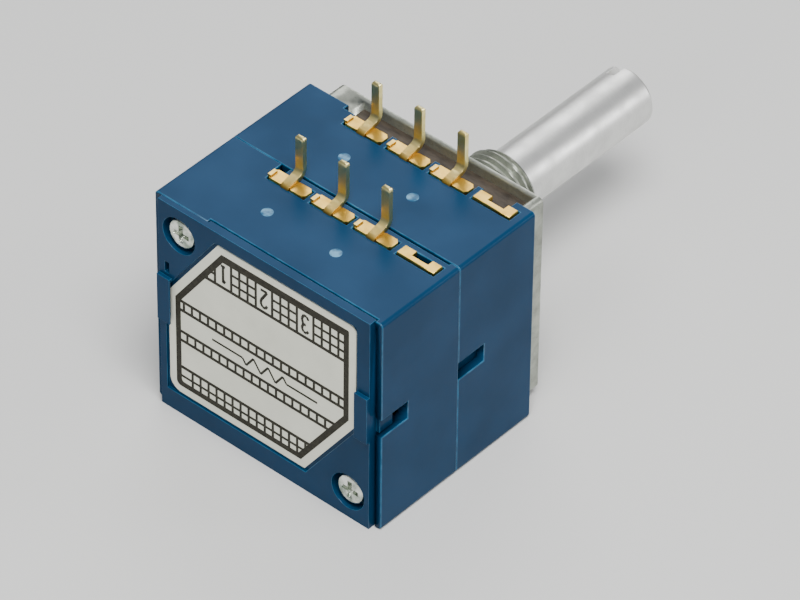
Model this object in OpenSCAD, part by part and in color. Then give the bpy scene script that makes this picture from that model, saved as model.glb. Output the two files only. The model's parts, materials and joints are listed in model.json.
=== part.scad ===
// Two-gang rotary potentiometer, 27 mm class, with an M8 panel bush and terminals for a circuit board.
// Frame, in mm: the origin is where the shaft axis meets the panel seat, the front face of the round boss.
// -Y is the way the shaft points, +Z the way the terminals point, and +X completes a right-handed frame.

/* [Body] */
// width of both blue gang housings, along X
body_w = 26.5; // [26:0.1:28]
// height of both gang housings, along Z
body_h = 23.9; // [23.5:0.1:25]
// depth of one gang housing, along Y, which is also the distance between the two rows of terminals
gang_depth = 9.9; // [9.9:0.1:11]
// radius of the housings' long edges
body_edge_r = 0.4; // [0.2:0.1:0.8]

/* [Front plate] */
// width of the cast front plate
plate_w = 23.7; // [22:0.1:24]
// height of the cast front plate
plate_h = 22.2; // [21.6:0.1:22.4]
// radius of the round boss that carries the panel
boss_r = 6.7; // [6.2:0.1:7.5]
// how far the boss stands in front of the plate
boss_h = 1.9; // [1.2:0.1:2.4]
// how far the threaded bush stands in front of the panel seat
bush_length = 7.0; // [6:0.5:12]
// length of the locating pin, from the plate's front face
locating_pin_length = 4.0; // [3.5:0.1:5]

/* [Shaft] */
// length of the shaft in front of the panel seat
shaft_length = 24.5; // [15:0.5:30]
// width of the screwdriver slot across the shaft's end
slot_w = 1.1; // [0.8:0.1:1.4]
// depth of that slot
slot_depth = 1.8; // [1:0.1:2.5]
// turn of that slot about the shaft, in degrees from vertical, at the middle of the travel
slot_angle = 21; // [0:1:175]

/* [Nut and washer] */
// size of the nut across its flats
nut_af = 10.8; // [10:0.1:12]
// thickness of the nut
nut_t = 2.0; // [1.5:0.1:2.5]
// thickness of the washer
washer_t = 0.8; // [0.5:0.1:1]

/* [Terminals] */
// distance between neighbouring terminals in a row
terminal_pitch = 5.0; // [4.8:0.1:5]
// how far each pin stands above the housing
terminal_length = 4.65; // [3:0.05:6]

/* [Hidden] */
$fn = 64;
eps = 0.01;

// the body's levels along Z; the shaft's axis is at z = 0
body_z_mid = -0.2;
body_top = body_z_mid + body_h / 2;
body_bottom = body_z_mid - body_h / 2;
plate_z_mid = -0.3;

// the stack along Y, from the panel seat back
plate_front = boss_h;
plate_t = 2.7;
gang_1 = plate_front + plate_t;
gang_2 = gang_1 + gang_depth;
rear_gang_extra = 0.1;
body_back = gang_2 + gang_depth + rear_gang_extra;

// front plate
plate_corner_r = 0.6;
bush_r = 4.0;
bush_tip_r = 3.65;
bush_tip_chamfer = 0.5;
bush_bore_r = 3.0;
stop_recess_r = 8.2;
stop_recess_t = 1.8;
stop_recess_y = gang_1 - stop_recess_t;
stop_lug_inner_r = 5.2;
stop_lug_half_angle = 16;
locating_pin_x = 10;
locating_pin_z = -0.3;
locating_pin_r = 1.4;
locating_pin_chamfer = 0.25;
relief_x_low = -11.1;
relief_x_high = 8.5;
relief_z = 8.8;
relief_lip = 0.65;
wall_setback = 0.6;

// screws: two, in opposite corners, through the whole stack into the front plate
screw_x = 9.9;
screw_dz = 8.95;
screw_r = 1.0;
screw_head_r = 1.55;
screw_head_t = 0.9;
cross_w = 0.5;
cross_l = 1.9;
cross_depth = 0.6;
screw_way_r = 1.2;
screw_tip_y = plate_front + 0.5;
tapped_r = 1.03;
countersink_r = 1.45;
countersink_t = 0.4;

// housings
wall = 1.2;
post_r = 2.2;
post_gap = 0.05;
post_setback = 0.3;
window_l = 3.4;
window_h = 1.95;
window_depth = 0.8;
catch_gap = 0.1;
tongue_t = 1.0;
tongue_h = 4.4;
tongue_gap = 0.05;
tongue_root_l = 2.0;
rim_t = 0.7;
rim_depth = 2.1;
rim_cut_back = 0.4;
rim_cut_x_high = 7.0;
rim_cut_x_low = -12.4;
seam_groove_x = [-12.2, 4.9];
seam_groove_w = 0.25;
seam_groove_depth = 0.4;
seam_notch_x = [6.4, 7.4];
seam_notch_l = 1.0;
seam_notch_depth = 0.6;

// rear cover
cover_side_gap = 0.2;
cover_proud = 0.6;
cover_back = body_back + cover_proud;
cover_spigot_gap = 0.15;
head_well_r = 1.9;
head_well_t = 1.15;
pivot_r = 1.5;
pivot_length = 1.6;
pivot_clearance = 0.05;
tab_w = 1.5;
tab_h = 5.2;
tab_z = 0.7;
tab_proud = 0.35;
slot_hole_x = 11.4;
slot_hole_z = 4.3;
slot_hole_w = 0.5;
slot_hole_h = 1.2;

// label, an upright rectangle with two opposite corners cut
label_x_low = -10.65;
label_x_high = 11.35;
label_z_low = -9.7;
label_z_high = 10.2;
label_cut_x = 5.95;
label_cut_z = 8.55;
label_t = 0.12;
label_recess_t = 0.25;
label_recess_gap = 0.25;

// element boards and what is printed on them
board_gap = 0.1;
board_t = 1.3;
board_side_gap = 0.15;
board_hole_r = 4.0;
notch_depth = 1.2;
print_t = 0.15;
track_r = 9.0;
track_w = 1.6;
track_half_angle = 160;
track_pad_w = 2.2;
track_pad_low = 7.8;
collector_r = 6.2;
collector_w = 1.2;

// terminals: positions from +X to -X; the last is a blank without a pin
terminal_x = [terminal_pitch, 0, -terminal_pitch, -2 * terminal_pitch];
pin_y = 0.2;
pin_w = 0.9;
pin_t = 0.5;
frame_y = 1.6;
frame_w = 4.2;
frame_d = 1.2;
frame_t = 0.5;
frame_proud = 0.2;
strip_t = 0.45;
leaf_t = 0.3;
leaf_w = 2.0;
blank_leaf_w = 1.8;
blank_notch_x = [-1.0, 0.8];
blank_notch_y = 0.05;
end_leaf_z = 9.6;
tap_leaf_z = 6.0;
slot_clearance = 0.1;

// fixings on the bush
washer_r = 6.8;
washer_bore_r = 4.15;
nut_angle = 39;
nut_clearance = 0.08;
nut_chamfer = 0.45;

// turning parts
shaft_r = 3.0;
shaft_chamfer = 0.4;
bearing_r = 2.95;
neck_r = 2.78;
neck_y = [-bush_length - 0.3, -bush_length + 0.2];
pivot_start = body_back - 2.3;
drive_r = 2.5;
drive_flat = 1.7;
drive_start = plate_front + 2.1;
drive_clearance = 0.03;
groove_r = 2.4;
ring_t = 0.5;
ring_y = stop_recess_y + 0.35;
ring_r = 4.6;
ring_gap_angle = 60;
ring_gap = 0.03;
thrust_t = 0.28;
thrust_y = stop_recess_y + 0.02;
thrust_r = 5.0;
stop_t = 0.45;
stop_y = drive_start + 0.05;
stop_hub_r = 4.3;
stop_arm_w = 2.4;
stop_arm_r = 7.7;
rotor_y = 4.4;
rotor_t = 1.5;
rotor_r = 9.9;
hub_r = 4.6;
hub_t = 3.2;
wiper_t = 0.3;
wiper_w = 4.0;
finger_w = 0.45;
finger_pitch = 0.65;
finger_count = 5;
brush_gap = 0.05;
wiper_z_low = -9.6;
wiper_z_high = -5.4;
finger_root = 0.4;
finger_foot = 0.25;

// which piece to build, or all of them

// ---------- helpers ----------

// a flat outline drawn in X and Z, given thickness from y0 to y1
module slab(y0, y1)
    translate([0, y1, 0]) rotate([90, 0, 0]) linear_extrude(y1 - y0) children();

// a round bar along Y
module rod(r, y0, y1, x = 0, z = 0)
    translate([x, y0, z]) rotate([-90, 0, 0]) cylinder(r = r, h = y1 - y0);

// a cone along Y, of radius r0 at y0 and r1 at y1
module taper(r0, r1, y0, y1, x = 0, z = 0)
    translate([x, y0, z]) rotate([-90, 0, 0]) cylinder(r1 = r0, r2 = r1, h = y1 - y0);

module block(x0, x1, y0, y1, z0, z1)
    translate([x0, y0, z0]) cube([x1 - x0, y1 - y0, z1 - z0]);

module rounded_box_2d(x0, x1, z0, z1, r) {
    translate([x0 + r, z0]) square([x1 - x0 - 2 * r, z1 - z0]);
    translate([x0, z0 + r]) square([x1 - x0, z1 - z0 - 2 * r]);
    for (x = [x0 + r, x1 - r], z = [z0 + r, z1 - r])
        translate([x, z]) circle(r);
}

// a ring sector, centred on -Z, that reaches half_angle to each side; under 180 degrees to each side
module sector_2d(r_in, r_out, half_angle) {
    reach = 2 * r_out;
    difference() {
        circle(r_out);
        circle(r_in);
        if (half_angle >= 90)
            polygon([[0, 0], [reach * sin(half_angle), -reach * cos(half_angle)], [0, reach],
                [-reach * sin(half_angle), -reach * cos(half_angle)]]);
        else
            polygon([[0, 0], [reach * sin(half_angle), -reach * cos(half_angle)], [2 * reach, 0],
                [0, 2 * reach], [-2 * reach, 0], [-reach * sin(half_angle), -reach * cos(half_angle)]]);
    }
}

// the shaft's flatted drive section, grown by a clearance
module drive_2d(grow)
    intersection() {
        circle(drive_r + grow);
        translate([-drive_r - 1, -drive_r - 1]) square([2 * drive_r + 2, drive_r + 1 + drive_flat + grow]);
    }

// the two screws' places, and all four corners
module at_screws()
    for (s = [-1, 1])
        translate([s * screw_x, 0, body_z_mid + s * screw_dz]) children();

module at_corners_2d()
    for (sx = [-1, 1], sz = [-1, 1])
        translate([sx * screw_x, body_z_mid + sz * screw_dz]) children();

// ---------- casting, nut, washer ----------

module front_plate() {
    plate_top = plate_z_mid + plate_h / 2;
    color([0.56, 0.59, 0.54]) difference() {
        union() {
            slab(plate_front, gang_1)
                rounded_box_2d(-plate_w / 2, plate_w / 2, plate_z_mid - plate_h / 2, plate_top, plate_corner_r);
            rod(boss_r, 0, plate_front + eps);
            rod(bush_r, -bush_length + bush_tip_chamfer, eps);
            taper(bush_tip_r, bush_r, -bush_length, -bush_length + bush_tip_chamfer);
            rod(locating_pin_r, plate_front - locating_pin_length + locating_pin_chamfer, plate_front + eps,
                locating_pin_x, locating_pin_z);
            taper(locating_pin_r - locating_pin_chamfer, locating_pin_r, plate_front - locating_pin_length,
                plate_front - locating_pin_length + locating_pin_chamfer, locating_pin_x, locating_pin_z);
        }
        rod(bush_bore_r, -bush_length - 1, gang_1 + 1);
        // recess for the stop plate, with the stop lug left standing at +Z
        slab(stop_recess_y, gang_1 + 1) difference() {
            circle(stop_recess_r);
            mirror([0, 1]) sector_2d(stop_lug_inner_r, stop_recess_r + 1, stop_lug_half_angle);
        }
        // relief that keeps the metal away from the front row of terminals
        block(relief_x_low, relief_x_high, plate_front + relief_lip, gang_1 + 1, relief_z, plate_top + 1);
        at_screws() {
            rod(tapped_r, plate_front - 1, gang_1 + 1);
            taper(countersink_r, tapped_r, plate_front - eps, plate_front + countersink_t);
        }
    }
}

module washer()
    color([0.66, 0.70, 0.62]) slab(-washer_t, 0) difference() {
        circle(washer_r);
        circle(washer_bore_r);
    }

module hex_nut() {
    corner_r = nut_af / 2 / cos(30);
    color([0.60, 0.63, 0.57]) intersection() {
        slab(-washer_t - nut_t, -washer_t) difference() {
            rotate(nut_angle) circle(r = corner_r, $fn = 6);
            circle(bush_r + nut_clearance);
        }
        union() {
            taper(nut_af / 2 - 0.1, corner_r, -washer_t - nut_t, -washer_t - nut_t + nut_chamfer);
            rod(corner_r, -washer_t - nut_t + nut_chamfer - eps, -washer_t + 1);
        }
    }
}

// ---------- turning parts ----------

module shaft()
    color([0.76, 0.76, 0.74]) difference() {
        union() {
            taper(shaft_r - shaft_chamfer, shaft_r, -shaft_length, -shaft_length + shaft_chamfer);
            rod(shaft_r, -shaft_length + shaft_chamfer, neck_y[0]);
            rod(neck_r, neck_y[0] - eps, neck_y[1] + eps);
            rod(bearing_r, neck_y[1], drive_start);
            slab(drive_start - eps, pivot_start) drive_2d(0);
            rod(pivot_r, pivot_start - eps, pivot_start + pivot_length);
        }
        // screwdriver slot
        rotate([0, slot_angle, 0])
            block(-slot_w / 2, slot_w / 2, -shaft_length - 1, -shaft_length + slot_depth, -4, 4);
        // groove for the retaining ring
        slab(ring_y - ring_gap, ring_y + ring_t + ring_gap) difference() {
            circle(shaft_r + 1);
            circle(groove_r);
        }
    }

module retaining_ring()
    color([0.45, 0.45, 0.44]) slab(ring_y, ring_y + ring_t)
        sector_2d(groove_r + ring_gap, ring_r, 180 - ring_gap_angle / 2);

module thrust_washer()
    color([0.78, 0.64, 0.34]) slab(thrust_y, thrust_y + thrust_t) difference() {
        circle(thrust_r);
        circle(shaft_r + 0.05);
    }

module stop_plate()
    color([0.70, 0.70, 0.66]) slab(stop_y, stop_y + stop_t) difference() {
        union() {
            circle(stop_hub_r);
            translate([-stop_arm_w / 2, -stop_arm_r]) square([stop_arm_w, stop_arm_r]);
        }
        drive_2d(drive_clearance);
    }

// wiper carrier of the gang whose front edge is at y0
module rotor(y0)
    color([0.90, 0.89, 0.84]) difference() {
        union() {
            rod(rotor_r, y0 + rotor_y, y0 + rotor_y + rotor_t);
            rod(hub_r, y0 + rotor_y, y0 + rotor_y + hub_t);
        }
        slab(y0 + rotor_y - 1, y0 + rotor_y + hub_t + 1) drive_2d(drive_clearance);
    }

// side view of one finger, drawn in Y and Z: it leaves the plate at root_z and comes down at tip_z,
// and way is the sign of its run along Z
module finger_2d(y_plate, y_touch, root_z, tip_z, way)
    polygon([[y_plate, root_z], [y_plate, root_z + way * finger_root],
        [y_touch + finger_foot, tip_z + way * 0.15], [y_touch, tip_z + way * 0.1],
        [y_touch, tip_z - way * 0.2], [y_touch + finger_foot, tip_z - way * 0.25]]);

// spring wiper: a plate on the carrier with fingers down to the track and to the collector
module wiper(y0) {
    back = y0 + rotor_y - 0.02;
    front = back - wiper_t;
    touch = y0 + board_gap + board_t + print_t + brush_gap;
    color([0.80, 0.62, 0.34]) {
        block(-wiper_w / 2, wiper_w / 2, front, back, wiper_z_low, wiper_z_high);
        for (i = [0:finger_count - 1])
            translate([(i - (finger_count - 1) / 2) * finger_pitch - finger_w / 2, 0, 0])
                rotate([90, 0, 90]) linear_extrude(finger_w) {
                    finger_2d(front + eps, touch, -7.3, -track_r, -1);
                    finger_2d(front + eps, touch, -7.2, -collector_r, 1);
                }
    }
}

// ---------- element boards ----------

module board(y0)
    color([0.34, 0.24, 0.15]) slab(y0 + board_gap, y0 + board_gap + board_t) difference() {
        translate([-body_w / 2 + wall + board_side_gap, body_bottom + wall + board_side_gap])
            square([body_w - 2 * wall - 2 * board_side_gap, body_h - 2 * wall - 2 * board_side_gap]);
        circle(board_hole_r);
        at_corners_2d() circle(screw_way_r);
        // notches that clear the latch tongues
        for (s = [-1, 1])
            translate([s * body_w / 2 - notch_depth - (s > 0 ? wall : -wall), body_z_mid - tongue_h / 2 - 0.15])
                square([2 * notch_depth, tongue_h + 0.3]);
    }

// resistive arc with a pad at each end that runs out to its terminal
module track(y0) {
    face = y0 + board_gap + board_t;
    pad_high = body_top - wall - board_side_gap - 0.3;
    color([0.10, 0.10, 0.11]) slab(face, face + print_t) {
        sector_2d(track_r - track_w / 2, track_r + track_w / 2, track_half_angle);
        for (s = [-1, 1])
            difference() {
                translate([s * terminal_pitch - track_pad_w / 2, track_pad_low])
                    square([track_pad_w, pad_high - track_pad_low]);
                circle(track_r);
            }
    }
}

module collector(y0) {
    face = y0 + board_gap + board_t;
    color([0.74, 0.74, 0.72]) slab(face, face + print_t) difference() {
        circle(collector_r + collector_w / 2);
        circle(collector_r - collector_w / 2);
    }
}

// ---------- terminals ----------

// terminal at x, in the gang whose front edge is at y0; its leaf reaches down to leaf_z
module terminal(x, y0, leaf_z) {
    frame_mid = y0 + frame_y;
    pin_mid = y0 + pin_y;
    strip_z = body_top + 0.05;
    leaf_y = y0 + board_gap + board_t + print_t;
    color([0.86, 0.70, 0.36]) translate([x, 0, 0]) {
        block(-frame_w / 2, frame_w / 2, frame_mid - frame_d / 2, frame_mid + frame_d / 2,
            body_top + frame_proud - frame_t, body_top + frame_proud);
        block(-leaf_w / 2, leaf_w / 2, leaf_y, leaf_y + leaf_t, leaf_z, body_top);
        block(-pin_w / 2, pin_w / 2, pin_mid - pin_t / 2, frame_mid + frame_d / 2 - 0.1,
            strip_z, strip_z + strip_t);
        slab(pin_mid - pin_t / 2, pin_mid + pin_t / 2) {
            translate([-pin_w / 2, strip_z]) square([pin_w, body_top + terminal_length - pin_w / 2 - strip_z]);
            translate([0, body_top + terminal_length - pin_w / 2]) circle(pin_w / 2);
        }
    }
}

// the fourth place of each row holds a plain clip, notched at the front, with no pin
module terminal_blank(y0) {
    frame_mid = y0 + frame_y;
    leaf_y = y0 + board_gap + board_t + print_t;
    color([0.86, 0.70, 0.36]) translate([terminal_x[3], 0, 0]) {
        difference() {
            block(-frame_w / 2, frame_w / 2, frame_mid - frame_d / 2, frame_mid + frame_d / 2,
                body_top + frame_proud - frame_t, body_top + frame_proud);
            block(blank_notch_x[0], blank_notch_x[1], frame_mid - frame_d, frame_mid + blank_notch_y,
                body_top - 1, body_top + 1);
        }
        block(-blank_leaf_w / 2, blank_leaf_w / 2, leaf_y, leaf_y + leaf_t, end_leaf_z, body_top);
    }
}

// ---------- housings ----------

// the box both gangs share: an open tube with a post in each corner behind the board, slots for the
// terminals in its top wall and a latch window in each side wall, up against its rear edge
module gang_box(y0, y1) {
    inside_x = body_w / 2 - wall;
    board_back = y0 + board_gap + board_t;
    difference() {
        union() {
            slab(y0, y1) difference() {
                rounded_box_2d(-body_w / 2, body_w / 2, body_bottom, body_top, body_edge_r);
                translate([-inside_x, body_bottom + wall]) square([2 * inside_x, body_h - 2 * wall]);
            }
            slab(board_back + post_gap, y1 - rim_depth - post_setback) {
                at_corners_2d() circle(post_r);
                // webs that join each post to the walls beside it
                for (sx = [-1, 1], sz = [-1, 1])
                    translate([sx > 0 ? screw_x : -inside_x - eps,
                        sz > 0 ? body_z_mid + screw_dz : body_bottom + wall - eps])
                        square([inside_x - screw_x + eps, body_h / 2 - wall - screw_dz + eps]);
            }
        }
        slab(board_back - 1, y1 + 1) at_corners_2d() circle(screw_way_r);
        for (s = [-1, 1])
            block(s > 0 ? inside_x - 1 : -body_w / 2 - 1, s > 0 ? body_w / 2 + 1 : -inside_x + 1,
                y1 - window_l, y1 + 1, body_z_mid - window_h / 2, body_z_mid + window_h / 2);
        for (x = terminal_x)
            block(x - frame_w / 2 - slot_clearance, x + frame_w / 2 + slot_clearance,
                y0 + frame_y - frame_d / 2 - slot_clearance, y0 + frame_y + frame_d / 2 + slot_clearance,
                body_top - wall - 1, body_top + 1);
        // room for the blank terminal's leaf in the post beside it
        block(terminal_x[3] - 1, terminal_x[3] + 1, board_back, board_back + print_t + leaf_t + slot_clearance,
            end_leaf_z - slot_clearance, body_top);
    }
}

// a latch tongue against the inside of a side wall, with its catch in the wall's window
module tongue(s, y0, y1, window_y) {
    outer = body_w / 2 - wall - tongue_gap;
    translate([s > 0 ? 0 : -2 * outer + tongue_t, 0, 0])
        block(outer - tongue_t, outer, y0, y1, body_z_mid - tongue_h / 2, body_z_mid + tongue_h / 2);
    block(s > 0 ? outer - eps : -body_w / 2 + window_depth, s > 0 ? body_w / 2 - window_depth : -outer + eps,
        window_y + catch_gap, window_y + window_l - 0.5,
        body_z_mid - window_h / 2 + catch_gap, body_z_mid + window_h / 2 - catch_gap);
}

module front_housing()
    color([0.10, 0.30, 0.47]) difference() {
        gang_box(gang_1, gang_2);
        // the top wall is set back in front of the first row of terminals, and their slots open into that
        block(relief_x_low, relief_x_high, gang_1 - 1, gang_1 + wall_setback, body_top - wall - 1, body_top + 1);
        for (x = terminal_x)
            block(max(x - frame_w / 2 - slot_clearance, relief_x_low), x + frame_w / 2 + slot_clearance,
                gang_1 - 1, gang_1 + frame_y, body_top - wall - 1, body_top + 1);
    }

module rear_housing()
    color([0.10, 0.30, 0.47]) {
        difference() {
            gang_box(gang_2, body_back);
            // the rim, thinner than the wall, that takes the cover; the bottom wall stops short of it
            slab(body_back - rim_depth, body_back + 1)
                translate([-body_w / 2 + rim_t, body_bottom - 1])
                    square([body_w - 2 * rim_t, body_h + 1 - rim_t]);
            // the top edge is cut back over most of its width
            block(rim_cut_x_low, rim_cut_x_high, body_back - rim_cut_back, body_back + 1,
                body_top - wall, body_top + 1);
            // groove and notch along the seam with the front housing
            block(seam_groove_x[0], seam_groove_x[1], gang_2 - 1, gang_2 + seam_groove_w,
                body_top - seam_groove_depth, body_top + 1);
            block(seam_notch_x[0], seam_notch_x[1], gang_2 - 1, gang_2 + seam_notch_l,
                body_top - seam_notch_depth, body_top + 1);
        }
        for (s = [-1, 1]) {
            tongue(s, gang_2 - window_l, gang_2 + tongue_root_l, gang_2 - window_l);
            // root of the tongue, joined to this housing's own wall behind the board
            block(s > 0 ? body_w / 2 - wall - tongue_gap - tongue_t : -body_w / 2 + wall - eps,
                s > 0 ? body_w / 2 - wall + eps : -body_w / 2 + wall + tongue_gap + tongue_t,
                gang_2, gang_2 + tongue_root_l, body_z_mid - tongue_h / 2, body_z_mid + tongue_h / 2);
        }
    }

// ---------- rear cover, label, screws ----------

module label_2d(grow) {
    x0 = label_x_low - grow;
    x1 = label_x_high + grow;
    z0 = label_z_low - grow;
    z1 = label_z_high + grow;
    polygon([[x0, z1], [x1 - label_cut_x, z1], [x1, z1 - label_cut_z], [x1, z0], [x0 + label_cut_x, z0],
        [x0, z0 + label_cut_z]]);
}

module rear_cover() {
    seat = body_back - rim_cut_back;
    inside_x = body_w / 2 - rim_t - cover_side_gap;
    color([0.11, 0.31, 0.48]) difference() {
        union() {
            // the part inside the rim
            slab(body_back - rim_depth + cover_spigot_gap, cover_back)
                translate([-inside_x, body_bottom]) square([2 * inside_x, body_h - rim_t - cover_side_gap]);
            // the flange that lies over the top edge, thicker where that edge is cut back
            block(-inside_x, inside_x, body_back + 0.03, cover_back,
                body_top - rim_t - cover_side_gap - eps, body_top);
            block(-inside_x, rim_cut_x_high - 0.15, seat + 0.15, cover_back,
                body_top - rim_t - cover_side_gap - eps, body_top);
            for (s = [-1, 1]) {
                block(s > 0 ? inside_x - tab_w : -inside_x, s > 0 ? inside_x : -inside_x + tab_w,
                    cover_back - eps, cover_back + tab_proud, tab_z - tab_h / 2, tab_z + tab_h / 2);
                // catch of the snap latch, seen in the rear housing's side window
                block(s > 0 ? inside_x - eps : -body_w / 2 + window_depth - 0.3,
                    s > 0 ? body_w / 2 - window_depth + 0.3 : -inside_x + eps,
                    body_back - rim_depth + cover_spigot_gap, body_back - 0.3,
                    body_z_mid - window_h / 2 + catch_gap, body_z_mid + window_h / 2 - catch_gap);
            }
        }
        slab(cover_back - label_recess_t, cover_back + 0.2) label_2d(label_recess_gap);
        at_screws() {
            rod(screw_way_r, body_back - 4, cover_back + 2);
            rod(head_well_r, cover_back - head_well_t, cover_back + 2);
        }
        rod(pivot_r + pivot_clearance, body_back - 4, pivot_start + pivot_length + 0.1);
        block(slot_hole_x - slot_hole_w / 2, slot_hole_x + slot_hole_w / 2, cover_back - 1, cover_back + 1,
            slot_hole_z - slot_hole_h / 2, slot_hole_z + slot_hole_h / 2);
    }
}

module label() {
    back = cover_back - label_recess_t;
    color([0.82, 0.82, 0.76]) slab(back, back + label_t) label_2d(0);
}

module cover_screws() {
    head_seat = cover_back - head_well_t;
    color([0.75, 0.78, 0.74]) at_screws() difference() {
        union() {
            rod(screw_r, screw_tip_y, head_seat + eps);
            rod(screw_head_r, head_seat, head_seat + screw_head_t);
        }
        // cross recess
        for (a = [0, 90])
            rotate([0, a, 0])
                block(-cross_w / 2, cross_w / 2, head_seat + screw_head_t - cross_depth, head_seat + 2,
                    -cross_l / 2, cross_l / 2);
    }
}

// ---------- insulator ----------

module insulator()
    color([0.30, 0.22, 0.15])
        block(relief_x_low + 0.1, relief_x_high - 0.1, plate_front + relief_lip + 0.1, gang_1 - 0.1,
            relief_z + 0.1, plate_z_mid + plate_h / 2 - 0.7);

// ---------- pieces ----------

module front_board() board(gang_1);
module front_track() track(gang_1);
module front_collector() collector(gang_1);
module front_rotor() rotor(gang_1);
module front_wiper() wiper(gang_1);
module rear_board() board(gang_2);
module rear_track() track(gang_2);
module rear_collector() collector(gang_2);
module rear_rotor() rotor(gang_2);
module rear_wiper() wiper(gang_2);
module front_terminal_1() terminal(terminal_x[0], gang_1, end_leaf_z);
module front_terminal_2() terminal(terminal_x[1], gang_1, tap_leaf_z);
module front_terminal_3() terminal(terminal_x[2], gang_1, end_leaf_z);
module front_terminal_blank() terminal_blank(gang_1);
module rear_terminal_1() terminal(terminal_x[0], gang_2, end_leaf_z);
module rear_terminal_2() terminal(terminal_x[1], gang_2, tap_leaf_z);
module rear_terminal_3() terminal(terminal_x[2], gang_2, end_leaf_z);
module rear_terminal_blank() terminal_blank(gang_2);

front_plate();
washer();
hex_nut();
shaft();
retaining_ring();
thrust_washer();
stop_plate();
insulator();
front_housing();
rear_housing();
rear_cover();
label();
cover_screws();
front_board();
front_track();
front_collector();
front_rotor();
front_wiper();
rear_board();
rear_track();
rear_collector();
rear_rotor();
rear_wiper();
front_terminal_1();
front_terminal_2();
front_terminal_3();
front_terminal_blank();
rear_terminal_1();
rear_terminal_2();
rear_terminal_3();
rear_terminal_blank();
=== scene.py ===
"""Looks of a two-gang rotary potentiometer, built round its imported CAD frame. Units are metres.

-Y is the way the shaft points, +Z the way the terminals point, and the part lies on its -Z face.
"""

import json
import math

import bmesh
import bpy
from mathutils import Matrix, Vector


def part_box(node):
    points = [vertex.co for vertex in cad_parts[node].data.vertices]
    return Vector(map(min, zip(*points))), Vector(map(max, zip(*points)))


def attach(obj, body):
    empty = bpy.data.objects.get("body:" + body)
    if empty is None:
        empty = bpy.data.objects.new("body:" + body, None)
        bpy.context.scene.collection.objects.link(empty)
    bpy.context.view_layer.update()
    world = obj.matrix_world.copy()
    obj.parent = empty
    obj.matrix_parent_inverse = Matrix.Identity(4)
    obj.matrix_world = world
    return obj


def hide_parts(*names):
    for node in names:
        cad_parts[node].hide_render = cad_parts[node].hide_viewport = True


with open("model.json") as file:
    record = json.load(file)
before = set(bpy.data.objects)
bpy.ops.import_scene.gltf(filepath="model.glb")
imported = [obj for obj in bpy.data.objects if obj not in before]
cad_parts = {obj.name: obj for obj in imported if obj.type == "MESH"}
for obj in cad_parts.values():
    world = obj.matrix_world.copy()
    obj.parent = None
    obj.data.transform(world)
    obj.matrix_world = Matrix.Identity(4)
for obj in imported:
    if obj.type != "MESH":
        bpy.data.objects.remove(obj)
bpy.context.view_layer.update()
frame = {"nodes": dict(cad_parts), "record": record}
MM = 0.001


# ---------- sizes in millimetres: first those read from the frame ----------

def box_mm(node):
    """A CAD node's lowest and highest corners, in mm."""
    low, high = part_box(node)
    return low / MM, high / MM


PLATE_LOW, PLATE_HIGH = box_mm("front_plate")
FRONT_LOW, FRONT_HIGH = box_mm("front_housing")
REAR_LOW, REAR_HIGH = box_mm("rear_housing")
COVER_HIGH = box_mm("rear_cover")[1]
LABEL_LOW, LABEL_HIGH = box_mm("label")
TOP = FRONT_HIGH.z
GANG_1 = FRONT_LOW.y
GANG_2 = FRONT_HIGH.y

# dimensions of the CAD that no node's box gives
PLATE_FRONT = 1.9
BOSS_R = 6.7
BUSH_R = 4.0
BUSH_TIP_R = 3.65
BUSH_TIP_CHAMFER = 0.5
BORE_R = 3.0
PIN_X = 10.0
PIN_Z = -0.3
PIN_R = 1.4
SCREW_R = 1.0
SCREW_HEAD_R = 1.55
SCREW_HEAD_T = 0.9
CROSS_L = 1.9
CROSS_W = 0.5
CROSS_DEPTH = 0.6

# detail of the thread and the screws that only this script adds
THREAD_PITCH = 0.75
THREAD_DEPTH = 0.42
THREAD_SLOPE = 2.6
THREAD_ROOT_FLAT = 0.25
THREAD_FULL_RISE = 0.9
SCREW_RIM = 0.3
SCREW_TIP = 0.15


# ---------- materials ----------

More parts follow.
